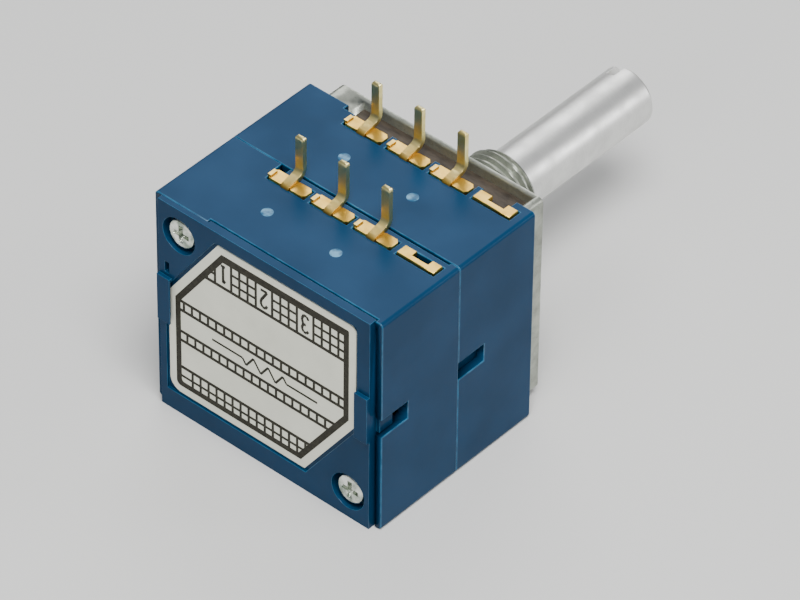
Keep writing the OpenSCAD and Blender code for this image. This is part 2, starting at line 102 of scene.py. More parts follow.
class Surface:
    """A Principled material, with short ways to add noise, colour and bump to it."""

    def __init__(self, name, color, metallic=0.0, roughness=0.5, specular=0.5):
        self.material = bpy.data.materials.new(name)
        self.material.use_nodes = True
        self.tree = self.material.node_tree
        self.shader = self.tree.nodes["Principled BSDF"]
        self.shader.inputs["Base Color"].default_value = (*color, 1)
        self.shader.inputs["Metallic"].default_value = metallic
        self.shader.inputs["Roughness"].default_value = roughness
        self.shader.inputs["Specular IOR Level"].default_value = specular
        self.place = self.tree.nodes.new("ShaderNodeTexCoord").outputs["Object"]
        self.normal = None

    def link(self, out, to):
        """Joins one node's output to another's input."""
        self.tree.links.new(out, to)

    def scaled(self, x, y=None, z=None):
        """Object coordinates times x, or times x, y and z along those axes."""
        node = self.tree.nodes.new("ShaderNodeMapping")
        node.inputs["Scale"].default_value = (x, x, x) if y is None else (x, y, z)
        self.link(self.place, node.inputs["Vector"])
        return node.outputs["Vector"]

    def rings(self, scale):
        """Coordinates that change only along Y and with distance from the Y axis, for turned parts."""
        split = self.tree.nodes.new("ShaderNodeSeparateXYZ")
        self.link(self.place, split.inputs["Vector"])
        flat = self.tree.nodes.new("ShaderNodeCombineXYZ")
        self.link(split.outputs["X"], flat.inputs["X"])
        self.link(split.outputs["Z"], flat.inputs["Z"])
        length = self.tree.nodes.new("ShaderNodeVectorMath")
        length.operation = "LENGTH"
        self.link(flat.outputs["Vector"], length.inputs[0])
        joined = self.tree.nodes.new("ShaderNodeCombineXYZ")
        self.link(length.outputs["Value"], joined.inputs["X"])
        self.link(split.outputs["Y"], joined.inputs["Y"])
        node = self.tree.nodes.new("ShaderNodeMapping")
        node.inputs["Scale"].default_value = (scale, scale, scale)
        self.link(joined.outputs["Vector"], node.inputs["Vector"])
        return node.outputs["Vector"]

    def noise(self, vector, detail=3.0, rough=0.5, distortion=0.0):
        node = self.tree.nodes.new("ShaderNodeTexNoise")
        node.inputs["Scale"].default_value = 1.0
        node.inputs["Detail"].default_value = detail
        node.inputs["Roughness"].default_value = rough
        node.inputs["Distortion"].default_value = distortion
        self.link(vector, node.inputs["Vector"])
        return node.outputs["Fac"]

    def ramp(self, value, stops):
        """Colours or greys along a value: stops are (position, colour or grey)."""
        node = self.tree.nodes.new("ShaderNodeValToRGB")
        elements = node.color_ramp.elements
        while len(elements) < len(stops):
            elements.new(0.5)
        for element, (position, color) in zip(elements, stops):
            element.position = position
            element.color = (*color, 1) if isinstance(color, tuple) else (color, color, color, 1)
        self.link(value, node.inputs["Fac"])
        return node.outputs["Color"]

    def multiply(self, a, b, share=1.0):
        node = self.tree.nodes.new("ShaderNodeMix")
        node.data_type = "RGBA"
        node.blend_type = "MULTIPLY"
        node.inputs["Factor"].default_value = share
        self.link(a, node.inputs[6])
        self.link(b, node.inputs[7])
        return node.outputs[2]

    def color(self, out):
        self.link(out, self.shader.inputs["Base Color"])

    def roughness(self, out):
        self.link(out, self.shader.inputs["Roughness"])

    def bump(self, height, depth, strength=1.0):
        """Adds relief of that depth, in metres, on top of any added before."""
        node = self.tree.nodes.new("ShaderNodeBump")
        node.inputs["Strength"].default_value = strength
        node.inputs["Distance"].default_value = depth
        self.link(height, node.inputs["Height"])
        if self.normal is not None:
            self.link(self.normal, node.inputs["Normal"])
        self.normal = node.outputs["Normal"]
        self.link(self.normal, self.shader.inputs["Normal"])


def cast_zinc():
    s = Surface("cast_zinc", (0.44, 0.46, 0.42), metallic=1.0, roughness=0.38)
    cloud = s.noise(s.scaled(420), detail=6, rough=0.68)
    patch = s.noise(s.scaled(110), detail=3, rough=0.55)
    speck = s.noise(s.scaled(2600), detail=3, rough=0.6)
    base = s.ramp(cloud, [(0.30, (0.27, 0.285, 0.245)), (0.52, (0.41, 0.43, 0.375)),
                          (0.75, (0.54, 0.555, 0.495))])
    shade = s.ramp(patch, [(0.35, 0.80), (0.62, 1.0)])
    pits = s.ramp(speck, [(0.28, 0.72), (0.40, 1.0)])
    s.color(s.multiply(s.multiply(base, shade), pits))
    s.roughness(s.ramp(cloud, [(0.3, 0.50), (0.7, 0.36)]))
    s.bump(s.noise(s.scaled(1000), detail=4, rough=0.6), 0.06 * MM, 0.6)
    s.bump(speck, 0.012 * MM, 0.5)
    return s.material


def plated_steel():
    s = Surface("zinc_plated_steel", (0.56, 0.59, 0.53), metallic=1.0, roughness=0.34)
    cloud = s.noise(s.scaled(420), detail=4)
    s.color(s.ramp(cloud, [(0.35, (0.38, 0.415, 0.365)), (0.65, (0.53, 0.56, 0.51))]))
    s.roughness(s.ramp(cloud, [(0.3, 0.36), (0.7, 0.25)]))
    s.bump(s.noise(s.scaled(2200), detail=3), 0.008 * MM, 0.5)
    return s.material


def bright_steel():
    s = Surface("bright_zinc_steel", (0.60, 0.63, 0.58), metallic=1.0, roughness=0.24)
    cloud = s.noise(s.scaled(1100), detail=3)
    s.color(s.ramp(cloud, [(0.36, (0.26, 0.31, 0.26)), (0.5, (0.60, 0.64, 0.57)),
                           (0.66, (0.86, 0.88, 0.83))]))
    s.bump(s.noise(s.scaled(1300), detail=3), 0.09 * MM, 0.8)
    return s.material


def turned_aluminium():
    s = Surface("turned_aluminium", (0.74, 0.74, 0.72), metallic=1.0, roughness=0.34)
    s.shader.inputs["Anisotropic"].default_value = 0.3
    tangent = s.tree.nodes.new("ShaderNodeTangent")
    tangent.direction_type = "RADIAL"
    tangent.axis = "Y"
    s.link(tangent.outputs["Tangent"], s.shader.inputs["Tangent"])
    lines = s.noise(s.rings(14000), detail=3, rough=0.5)
    cloud = s.noise(s.scaled(450), detail=4, rough=0.6)
    base = s.ramp(lines, [(0.3, (0.70, 0.70, 0.68)), (0.7, (0.80, 0.80, 0.78))])
    s.color(s.multiply(base, s.ramp(cloud, [(0.35, 0.88), (0.6, 1.0)])))
    s.roughness(s.ramp(cloud, [(0.3, 0.45), (0.7, 0.36)]))
    s.bump(lines, 0.0012 * MM, 0.5)
    s.bump(cloud, 0.008 * MM, 0.3)
    return s.material


def blue_plastic():
    s = Surface("blue_plastic", (0.0011, 0.028, 0.073), roughness=0.33, specular=0.09)
    cloud = s.noise(s.scaled(160), detail=3)
    grain = s.noise(s.scaled(3200), detail=2)
    s.color(s.ramp(cloud, [(0.35, (0.0008, 0.025, 0.066)), (0.65, (0.0014, 0.031, 0.080))]))
    s.roughness(s.ramp(cloud, [(0.3, 0.37), (0.7, 0.30)]))
    s.bump(grain, 0.005 * MM, 0.4)
    s.bump(s.noise(s.scaled(260), detail=2), 0.04 * MM, 0.2)
    return s.material


def painted_edge_highlight():
    """The plastic's rounded edges, glossier and painted lighter than its faces as a highlight."""
    s = Surface("painted_edge_highlight", (0.010, 0.085, 0.17), roughness=0.28, specular=0.3)
    cloud = s.noise(s.scaled(900), detail=3)
    # painted highlight: lighter blue on the edge faces stands for light caught along the rounded edges
    s.color(s.ramp(cloud, [(0.38, (0.004, 0.058, 0.125)), (0.62, (0.016, 0.105, 0.20))]))
    return s.material


def pale_blue():
    s = Surface("pale_blue", (0.05, 0.16, 0.28), roughness=0.3, specular=0.3)
    cloud = s.noise(s.scaled(1100), detail=3)
    s.color(s.ramp(cloud, [(0.42, (0.006, 0.07, 0.15)), (0.60, (0.10, 0.25, 0.38))]))
    return s.material


def label_paper():
    s = Surface("label_paper", (0.72, 0.72, 0.60), roughness=0.42, specular=0.4)
    cloud = s.noise(s.scaled(300), detail=4)
    s.color(s.ramp(cloud, [(0.3, (0.68, 0.685, 0.575)), (0.7, (0.75, 0.755, 0.64))]))
    s.bump(s.noise(s.scaled(1800), detail=3), 0.006 * MM, 0.5)
    return s.material


def label_ink():
    s = Surface("label_ink", (0.026, 0.024, 0.016), roughness=0.5, specular=0.12)
    cloud = s.noise(s.scaled(3500), detail=2)
    s.color(s.ramp(cloud, [(0.35, (0.020, 0.018, 0.012)), (0.7, (0.036, 0.033, 0.023))]))
    return s.material


def gold_plate():
    """Gold, deeper and redder on the pads at the housing's level than up the pins: a painted dark reflection
    on the pads.
    """
    s = Surface("gold_plate", (0.84, 0.66, 0.30), metallic=1.0, roughness=0.33)
    split = s.tree.nodes.new("ShaderNodeSeparateXYZ")
    # a ramp runs from 0 to 1, so heights in metres are scaled up to fill it
    scale = 60
    s.link(s.scaled(scale), split.inputs["Vector"])
    low, high = scale * (TOP + 0.2) * MM, scale * (TOP + 0.9) * MM
    # painted reflection: the pads near the housing's top are coloured deeper and redder to stand for the
    # darker surroundings they reflect; the pins stay paler
    height = s.ramp(split.outputs["Z"], [(low, (0.78, 0.57, 0.27)), (high, (1.0, 1.0, 1.0))])
    cloud = s.noise(s.scaled(900), detail=3)
    s.color(s.multiply(s.ramp(cloud, [(0.3, (0.78, 0.65, 0.24)), (0.7, (0.93, 0.83, 0.40))]), height))
    s.roughness(s.ramp(cloud, [(0.3, 0.38), (0.7, 0.28)]))
    s.bump(cloud, 0.08 * MM, 0.6)
    return s.material


def phenolic():
    s = Surface("phenolic", (0.05, 0.036, 0.024), roughness=0.55, specular=0.3)
    fibre = s.noise(s.scaled(500, 1500, 1500), detail=5, rough=0.65)
    s.color(s.ramp(fibre, [(0.35, (0.018, 0.013, 0.009)), (0.65, (0.055, 0.042, 0.029))]))
    s.bump(fibre, 0.01 * MM, 0.5)
    return s.material


def carbon_print():
    s = Surface("carbon_print", (0.018, 0.018, 0.02), roughness=0.55)
    s.bump(s.noise(s.scaled(4000), detail=2), 0.004 * MM, 0.5)
    return s.material


def silver_print():
    s = Surface("silver_print", (0.72, 0.71, 0.69), metallic=1.0, roughness=0.42)
    s.bump(s.noise(s.scaled(4000), detail=2), 0.004 * MM, 0.5)
    return s.material


def white_acetal():
    s = Surface("white_acetal", (0.78, 0.77, 0.71), roughness=0.42)
    s.shader.inputs["Subsurface Weight"].default_value = 0.1
    s.shader.inputs["Subsurface Radius"].default_value = (0.001, 0.0008, 0.0006)
    s.bump(s.noise(s.scaled(1500), detail=2), 0.005 * MM, 0.4)
    return s.material


def spring_brass():
    s = Surface("spring_brass", (0.78, 0.56, 0.26), metallic=1.0, roughness=0.3)
    cloud = s.noise(s.scaled(600), detail=3)
    s.color(s.ramp(cloud, [(0.3, (0.70, 0.49, 0.21)), (0.7, (0.82, 0.61, 0.30))]))
    return s.material


def spring_steel():
    s = Surface("spring_steel", (0.28, 0.28, 0.28), metallic=1.0, roughness=0.38)
    s.bump(s.noise(s.scaled(1800), detail=2), 0.006 * MM, 0.5)
    return s.material


MATERIALS = {
    "cast_zinc": cast_zinc(),
    "zinc_plated_steel": plated_steel(),
    "bright_zinc_steel": bright_steel(),
    "turned_aluminium": turned_aluminium(),
    "spring_steel": spring_steel(),
    "blue_plastic": blue_plastic(),
    "label_paper": label_paper(),
    "phenolic": phenolic(),
    "carbon_print": carbon_print(),
    "silver_print": silver_print(),
    "white_acetal": white_acetal(),
    "spring_brass": spring_brass(),
    "gold_plate": gold_plate(),
}
INK = label_ink()
# painted highlight colour for the rounded edges of the housings and the cover
PAINTED_EDGE_HIGHLIGHT = painted_edge_highlight()
PALE_BLUE = pale_blue()
SLOT_OF = {part["node"]: part["material_slot"] for part in frame["record"]["subparts"]}
BODY_OF = {node: body for body, nodes in frame["record"]["behaviour"]["bodies"].items() for node in nodes}


# ---------- mesh helpers ----------

def radius(p, x=0.0, z=0.0):
    """Distance of a point from the line along Y through x and z."""
    return math.hypot(p.x - x, p.z - z)


def copy_mesh(node):
    """A clean, editable copy of a CAD node's mesh: welded, with flat areas as single faces."""
    mesh = bmesh.new()
    mesh.from_mesh(frame["nodes"][node].data)
    bmesh.ops.remove_doubles(mesh, verts=mesh.verts, dist=0.002 * MM)
    bmesh.ops.dissolve_limit(mesh, angle_limit=math.radians(0.4), verts=mesh.verts, edges=mesh.edges)
    return mesh


def sharp_edges(mesh, test=None, angle=28):
    """The mesh's edges that turn by more than angle degrees and whose two ends both pass the test."""
    found = []
    for edge in mesh.edges:
        if len(edge.link_faces) != 2 or math.degrees(edge.calc_face_angle(0)) < angle:
            continue
        if test is None or all(test(v.co / MM) for v in edge.verts):
            found.append(edge)
    return found


def round_edges(mesh, edges, width, segments=3, material=0):
    """Rounds edges over a width in mm; the new faces get the piece's material of that number."""
    if edges:
        made = bmesh.ops.bevel(mesh, geom=edges, offset=width * MM, segments=segments, profile=0.5,
                               affect="EDGES", clamp_overlap=True, loop_slide=True)
        for face in made["faces"]:
            face.material_index = material


def add_ring(mesh, x, z, r, y, around):
    """A circle of points round the line along Y through x and z."""
    ring = []
    for k in range(around):
        a = 2 * math.pi * k / around
        ring.append(mesh.verts.new(Vector((x + r * math.cos(a), y, z + r * math.sin(a))) * MM))
    return ring


def join_rings(mesh, a, b):
    """Side faces between two rings with the same number of points."""
    for k in range(len(a)):
        m = (k + 1) % len(a)
        mesh.faces.new((a[k], a[m], b[m], b[k]))


def rectangle(a0, a1, b0, b1):
    """The corners of a rectangle, for add_prism."""
    return [(a0, b0), (a1, b0), (a1, b1), (a0, b1)]


def add_prism(mesh, outline, low, high, axis="y"):
    """A prism over an outline in the plane across axis: X and Z for y, Y and Z for x, X and Y for z."""
    place = {
        "x": lambda a, b, t: Vector((t, a, b)),
        "y": lambda a, b, t: Vector((a, t, b)),
        "z": lambda a, b, t: Vector((a, b, t)),
    }[axis]
    ends = [[mesh.verts.new(place(a, b, t) * MM) for a, b in outline] for t in (low, high)]
    mesh.faces.new(ends[0])
    mesh.faces.new(ends[1][::-1])
    for k in range(len(outline)):
        m = (k + 1) % len(outline)
        mesh.faces.new((ends[0][k], ends[1][k], ends[1][m], ends[0][m]))


def make_object(mesh, name, material, body, replaced=(), smooth_angle=35, edge_material=None):
    """A piece from a finished mesh: it rides on a body, and stands for the CAD nodes that it replaces."""
    bmesh.ops.recalc_face_normals(mesh, faces=mesh.faces)
    data = bpy.data.meshes.new(name)
    mesh.to_mesh(data)
    mesh.free()
    piece = bpy.data.objects.new(name, data)
    bpy.context.scene.collection.objects.link(piece)
    data.materials.append(material)
    if edge_material:
        data.materials.append(edge_material)
    for polygon in data.polygons:
        polygon.use_smooth = True
    data.set_sharp_from_angle(angle=math.radians(smooth_angle))
    weighted = piece.modifiers.new("weighted_normals", "WEIGHTED_NORMAL")
    weighted.keep_sharp = True
    weighted.weight = 80
    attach(piece, body)
    if replaced:
        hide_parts(*replaced)
    return piece


def refined(node, mesh, edge_material=None):
    """Puts an edited copy of a CAD node in the node's place."""
    return make_object(mesh, node + "_piece", MATERIALS[SLOT_OF[node]], BODY_OF[node],
                       [node], 50, edge_material)


# ---------- CAD nodes: a material for each ----------

for node, obj in frame["nodes"].items():
    obj.data.materials.clear()
    obj.data.materials.append(MATERIALS[SLOT_OF[node]])


# ---------- cast front plate, with its threaded bush ----------

PLATE_EDGE_ROUND = 0.42
BOSS_EDGE_ROUND = 0.25
BOSS_FOOT_ROUND = 0.35
PIN_FOOT_ROUND = 0.55
PIN_TIP_ROUND = 0.07
BACK_EDGE_ROUND = 0.1
OUTLINE_BAND = 0.7


def shrink_bush(mesh):
    """Draws the plain bush in under the thread, so that only the thread shows."""
    root_r = BUSH_R - THREAD_DEPTH
    for v in mesh.verts:
        p = v.co / MM
        if p.y < -0.05 and BORE_R + 0.2 < radius(p) < BUSH_R + 0.2:
            wanted = (root_r if p.y > PLATE_LOW.y + 0.1 else root_r - 0.15) - 0.03
            factor = wanted / radius(p)
            v.co.x *= factor
            v.co.z *= factor


def front_plate_piece():
    """The casting, with its edges and the feet of its boss and pin rounded."""
    mesh = copy_mesh("front_plate")
    shrink_bush(mesh)

    def near_pin(p):
        return radius(p, PIN_X, PIN_Z) < PIN_R + 0.1

    def on_boss(p):
        return abs(radius(p) - BOSS_R) < 0.05

    def on_outline(p):
        half_height = PLATE_HIGH.z - PIN_Z
        return abs(p.x) > PLATE_HIGH.x - OUTLINE_BAND or abs(p.z - PIN_Z) > half_height - OUTLINE_BAND

    def at_front(p):
        return abs(p.y - PLATE_FRONT) < 0.02

    round_edges(mesh, sharp_edges(mesh, lambda p: at_front(p) and near_pin(p)), PIN_FOOT_ROUND, 4)
    round_edges(mesh, sharp_edges(mesh, lambda p: at_front(p) and on_boss(p)), BOSS_FOOT_ROUND, 3)
    round_edges(mesh, sharp_edges(mesh, lambda p: at_front(p) and on_outline(p)), PLATE_EDGE_ROUND, 4)
    round_edges(mesh, sharp_edges(mesh, lambda p: abs(p.y) < 0.02 and on_boss(p)), BOSS_EDGE_ROUND, 3)
    round_edges(mesh, sharp_edges(mesh, lambda p: p.y < 0 and near_pin(p)), PIN_TIP_ROUND, 2)
    round_edges(mesh, sharp_edges(mesh, lambda p: p.y > GANG_1 - 0.02), BACK_EDGE_ROUND, 2)
    return refined("front_plate", mesh)


def thread_radius(y, turn):
    """Radius of the thread's surface at y, in mm, after that share of a turn: flats and steep flanks."""
    phase = (y / THREAD_PITCH - turn) % 1.0
    rise = THREAD_SLOPE * (0.5 - abs(phase - 0.5)) - THREAD_ROOT_FLAT
    share = min(max(rise, 0.0), THREAD_FULL_RISE) / THREAD_FULL_RISE
    full = BUSH_R - THREAD_DEPTH * (1 - share)
    tip = BUSH_TIP_R + (y - PLATE_LOW.y) * (BUSH_R - BUSH_TIP_R) / BUSH_TIP_CHAMFER
    return min(full, tip)


def bush_thread_piece():
    """The helical thread: a tube whose outside follows thread_radius, from the boss to the bush's tip."""
    around, rows = 128, 150
    y_low, y_high = PLATE_LOW.y, -0.35
    mesh = bmesh.new()
    rings = []
    for i in range(rows + 1):
        y = y_low + (y_high - y_low) * i / rows
        ring = []
        for j in range(around):
            a = 2 * math.pi * j / around
            r = thread_radius(y, j / around)
            ring.append(mesh.verts.new(Vector((r * math.cos(a), y, r * math.sin(a))) * MM))
        rings.append(ring)
    rings += [add_ring(mesh, 0, 0, BORE_R * 1.06, y, around) for y in (y_high, y_low)]
    for a, b in zip(rings, rings[1:] + rings[:1]):
        join_rings(mesh, a, b)
    return make_object(mesh, "bush_thread", MATERIALS["cast_zinc"], "body", smooth_angle=40)


# ---------- washer, nut, shaft, the small turned parts and the screws ----------

def turned_piece(node, width):
    """A copy of a CAD node with its edges rounded over that width."""
    mesh = copy_mesh(node)
    round_edges(mesh, sharp_edges(mesh), width, 2)
    return refined(node, mesh)


def add_cross(mesh, x, z, length, width, y):
    """The twelve corners of a cross round the line through x and z."""
    corners = [(length, width), (width, width), (width, length)]
    points = []
    for turn in range(4):
        for u, v in corners:
            for _ in range(turn):
                u, v = -v, u
            points.append(mesh.verts.new(Vector((x + u / 2, y, z + v / 2)) * MM))
    return points


def screw_profile(low_y, high_y):
    """Radius and Y along a screw, from the tip of its shank to the top of its rounded rim."""
    head_y = high_y - SCREW_HEAD_T
    profile = [(SCREW_R - SCREW_TIP, low_y), (SCREW_R, low_y + SCREW_TIP), (SCREW_R, head_y),
               (SCREW_HEAD_R, head_y), (SCREW_HEAD_R, high_y - SCREW_RIM)]
    steps = 5
    for k in range(1, steps + 1):
        a = math.pi / 2 * k / steps
        r = SCREW_HEAD_R - SCREW_RIM * (1 - math.cos(a))
        profile.append((r, high_y - SCREW_RIM * (1 - math.sin(a))))
    return profile


def screws_piece():
    """The two screws: shanks, and heads with a rounded rim round a tapered cross recess."""
    mesh = bmesh.new()
    low, high = box_mm("cover_screws")
    middle = (REAR_LOW.z + REAR_HIGH.z) / 2
    for side in (1, -1):
        x = side * (high.x - SCREW_HEAD_R)
        z = middle + side * (high.z - SCREW_HEAD_R - middle)
        rings = [add_ring(mesh, x, z, r, y, 48) for r, y in screw_profile(low.y, high.y)]
        for a, b in zip(rings, rings[1:]):
            join_rings(mesh, a, b)
        mesh.faces.new(rings[0])
        mouth = add_cross(mesh, x, z, CROSS_L, CROSS_W, high.y)
        floor = add_cross(mesh, x, z, CROSS_L * 0.6, CROSS_W * 0.7, high.y - CROSS_DEPTH)
        join_rings(mesh, mouth, floor)
        mesh.faces.new(floor)
        border = []
        for ring in (rings[-1], mouth):
            border += [mesh.edges.get((ring[k - 1], ring[k])) for k in range(len(ring))]
        bmesh.ops.triangle_fill(mesh, edges=border, use_beauty=True)
    return refined("cover_screws", mesh)


# ---------- housings and cover ----------

EDGE_ROUND = 0.1
EDGE_ANGLE = 40
OUTER_BAND = 0.45
COVER_DEPTH = 2.2
MARK_X = 4.0
MARK_SETBACK_1 = 5.6
MARK_SETBACK_2 = 5.65
MARK_R = 0.62
MARK_TOP_R = 0.496
MARK_STEPS = 32


def housing_piece(node):
    """A housing whose outer edges are rounded and painted lighter as a highlight."""
    mesh = copy_mesh(node)
    low, high = box_mm(node)

    def outside(p):
        return (p.x < low.x + OUTER_BAND or p.x > high.x - OUTER_BAND
                or p.z < low.z + OUTER_BAND or p.z > high.z - OUTER_BAND)

    # the rounded outer edges take the painted highlight material
    round_edges(mesh, sharp_edges(mesh, outside, EDGE_ANGLE), EDGE_ROUND, 3, 1)
    return refined(node, mesh, PAINTED_EDGE_HIGHLIGHT)


def cover_piece():
    """The rear cover, with the edges of its back rounded and painted lighter as a highlight."""
    mesh = copy_mesh("rear_cover")
    back_edges = sharp_edges(mesh, lambda p: p.y > COVER_HIGH.y - COVER_DEPTH, EDGE_ANGLE)
    # the rounded back edges take the painted highlight material
    round_edges(mesh, back_edges, EDGE_ROUND, 3, 1)
    return refined("rear_cover", mesh, PAINTED_EDGE_HIGHLIGHT)


def add_level_ring(mesh, x, y, r, z):
    """A level circle of points round x and y."""
    ring = []
    for k in range(MARK_STEPS):
        a = 2 * math.pi * k / MARK_STEPS
        ring.append(mesh.verts.new(Vector((x + r * math.cos(a), y + r * math.sin(a), z)) * MM))
    return ring


def ejector_marks():
    """Four faint round marks of the moulding tool on the top faces, a hair proud."""
    mesh = bmesh.new()
    for x in (-MARK_X, MARK_X):
        for y in (GANG_1 + MARK_SETBACK_1, GANG_2 + MARK_SETBACK_2):
            bottom = add_level_ring(mesh, x, y, MARK_R, TOP - 0.02)
            top = add_level_ring(mesh, x, y, MARK_TOP_R, TOP + 0.025)
            mesh.faces.new(top)
            mesh.faces.new(bottom[::-1])
            join_rings(mesh, bottom, top)
    return make_object(mesh, "ejector_marks", PALE_BLUE, "body")


# ---------- label ----------

LABEL_CUT_X = 5.95
LABEL_CUT_Z = 8.55
LABEL_SMALL_R = 0.7
LABEL_LARGE_R = 1.3


def arc(x, z, r, start, end, steps=8):
    """Points on an arc round x and z, from start to end degrees."""
    points = []
    for k in range(steps + 1):
        a = math.radians(start + (end - start) * k / steps)
        points.append((x + r * math.cos(a), z + r * math.sin(a)))
    return points


def label_outline(inset):
    """The label's outline in X and Z, moved in by inset: two opposite corners cut, the other two rounded."""
    x0, x1 = LABEL_LOW.x + inset, LABEL_HIGH.x - inset
    z0, z1 = LABEL_LOW.z + inset, LABEL_HIGH.z - inset
    slope = math.hypot(LABEL_CUT_X, LABEL_CUT_Z)
    cut_x = LABEL_CUT_X + inset * (slope / LABEL_CUT_Z - 1 - LABEL_CUT_X / LABEL_CUT_Z)
    cut_z = cut_x * LABEL_CUT_Z / LABEL_CUT_X
    large = max(LABEL_LARGE_R - inset, 0.3)
    small = max(LABEL_SMALL_R - inset, 0.15)
    return ([(x0 + cut_x, z0)] + arc(x1 - large, z0 + large, large, -90, 0)
            + [(x1, z1 - cut_z), (x1 - cut_x, z1)] + arc(x0 + small, z1 - small, small, 90, 180)
            + [(x0, z0 + cut_z)])


def label_piece():
    """The paper."""
    mesh = bmesh.new()
    add_prism(mesh, label_outline(0.0), LABEL_LOW.y, LABEL_HIGH.y)
    return make_object(mesh, "label_piece", MATERIALS["label_paper"], "body", ["label"])


# ---------- the label's print ----------

PRINT_INSET = 0.8
BORDER_W = 0.6
LINE_W = 0.27
COLUMN = 0.96
LAST_COLUMN = 9
PRINT_BOTTOM = LABEL_HIGH.y - 0.004
PRINT_TOP = LABEL_HIGH.y + 0.012
LEVEL_LINE_TOP = LABEL_HIGH.y + 0.014
BORDER_TOP = LABEL_HIGH.y + 0.016
DIGIT_W = 0.75
DIGIT_H = 0.95
DIGIT_Z = 7.2
DIGIT_LINE_W = 0.28
# each number's lines, upright when the terminals point down: x grows to the reader's right, z downwards
DIGITS = {
    1: [[(0.35, -0.62), (0, -1), (0, 1)], [(-0.32, 1), (0.32, 1)]],
    2: [[(0.5, -0.62), (0.25, -1), (-0.25, -1), (-0.5, -0.6), (-0.42, -0.2), (0.5, 1), (-0.5, 1)]],
    3: [[(0.5, -0.7), (0.2, -1), (-0.25, -1), (-0.5, -0.6), (-0.3, -0.1), (-0.5, 0.5), (-0.25, 1),
         (0.25, 1), (0.5, 0.65)], [(-0.3, -0.1), (0.1, -0.05)]],
}
SYMBOL_Z = -1.1
SYMBOL_HALF = 2.6
SYMBOL_END = 6.2
SYMBOL_TEETH = 6
SYMBOL_TOOTH_H = 0.62
SYMBOL_LINE_W = 0.22


def print_span(z_low, z_high):
    """The X span between the middles of the border's sides, over a band of Z."""
    inset = PRINT_INSET + BORDER_W / 2
    x0, x1 = LABEL_LOW.x + inset, LABEL_HIGH.x - inset
    slope = LABEL_CUT_X / LABEL_CUT_Z
    top_left = LABEL_HIGH.z - LABEL_CUT_Z
    low_right = LABEL_LOW.z + LABEL_CUT_Z
    if z_high > top_left:
        x1 -= (z_high - top_left) * slope
    if z_low < low_right:
        x0 += (low_right - z_low) * slope
    return x0, x1


def print_lines(mesh, points, width):
    """Straight lines through points. Level ones stand higher, so that no crossing lines share a top face."""
    for start, end in zip(points, points[1:]):
        a, b = Vector(start), Vector(end)
        side = (b - a).normalized().orthogonal() * width / 2
        is_level = abs(b.x - a.x) > abs(b.y - a.y)
        outline = [tuple(a + side), tuple(a - side), tuple(b - side), tuple(b + side)]
        add_prism(mesh, outline, PRINT_BOTTOM, LEVEL_LINE_TOP if is_level else PRINT_TOP)


def print_border(mesh):
    outer, inner = label_outline(PRINT_INSET), label_outline(PRINT_INSET + BORDER_W)
    for k in range(len(outer)):
        m = (k + 1) % len(outer)
        add_prism(mesh, [outer[k], outer[m], inner[m], inner[k]], PRINT_BOTTOM, BORDER_TOP)


def print_grid(mesh, z_low, z_high, rows, numbered):
    """Square cells in rows; when numbered, every fifth pair of columns is one tall cell for a number."""
    tall = [((c - 1) * COLUMN, (c + 1) * COLUMN) for c in (-5, 0, 5)] if numbered else []
    for r in range(rows + 1):
        z = z_low + (z_high - z_low) * r / rows
        xa, xb = print_span(z, z)
        if r in (0, rows):
            print_lines(mesh, [(xa, z), (xb, z)], LINE_W * 1.3)
            continue
        ends = [xa] + [x for cell in tall for x in cell] + [xb]
        for start, end in zip(ends[::2], ends[1::2]):
            if end > start:
                print_lines(mesh, [(start, z), (end, z)], LINE_W)
    for c in range(-LAST_COLUMN, LAST_COLUMN + 1):
        x = c * COLUMN
        if numbered and c % 5 == 0:
            continue
        za, zb = z_low, z_high
        while za < zb and print_span(za, za)[0] > x:
            za += 0.05
        while zb > za and print_span(zb, zb)[1] < x:
            zb -= 0.05
        if zb - za > 0.15 and abs(x) < LABEL_HIGH.x - PRINT_INSET - BORDER_W:
            print_lines(mesh, [(x, za), (x, zb)], LINE_W)


def print_ladder(mesh, z_low, z_high):
    """Two level lines with cross lines between them."""
    for z in (z_low, z_high):
        xa, xb = print_span(z, z)
        print_lines(mesh, [(xa, z), (xb, z)], LINE_W * 1.25)
    xa, xb = print_span(z_low, z_high)
    for c in range(1, int((xb - xa) / COLUMN) + 1):
        x = xa + c * COLUMN - 0.1
        print_lines(mesh, [(x, z_low), (x, z_high)], LINE_W)


def print_number(mesh, number, x):
    for line in DIGITS[number]:
        points = [(x - u * DIGIT_W, DIGIT_Z + v * DIGIT_H) for u, v in line]
        print_lines(mesh, points, DIGIT_LINE_W)


def print_resistor(mesh):
    """A resistor's zigzag with a straight lead at each side."""
    for side in (1, -1):
        print_lines(mesh, [(side * SYMBOL_END, SYMBOL_Z), (side * SYMBOL_HALF, SYMBOL_Z)], SYMBOL_LINE_W)
    step = 2 * SYMBOL_HALF / SYMBOL_TEETH
    points = [(SYMBOL_HALF, SYMBOL_Z)]
    for k in range(SYMBOL_TEETH):
        tooth = SYMBOL_TOOTH_H if k % 2 else -SYMBOL_TOOTH_H
        points.append((SYMBOL_HALF - step * (k + 0.5), SYMBOL_Z + tooth))
    points.append((-SYMBOL_HALF, SYMBOL_Z))
    print_lines(mesh, points, SYMBOL_LINE_W)


def label_print_piece():
    """The label's print: a border, two grids, two ladder strips, numbers 1 to 3 and a resistor's symbol."""
    mesh = bmesh.new()
    print_border(mesh)
    print_grid(mesh, 5.7, 8.75, 3, True)
    print_grid(mesh, -8.68, -6.56, 2, False)
    print_ladder(mesh, 0.15, 1.2)
    print_ladder(mesh, -3.4, -2.35)
    for number, column in ((1, 5), (2, 0), (3, -5)):
        print_number(mesh, number, column * COLUMN)
    print_resistor(mesh)
    return make_object(mesh, "label_print", INK, "body")


# ---------- terminals ----------

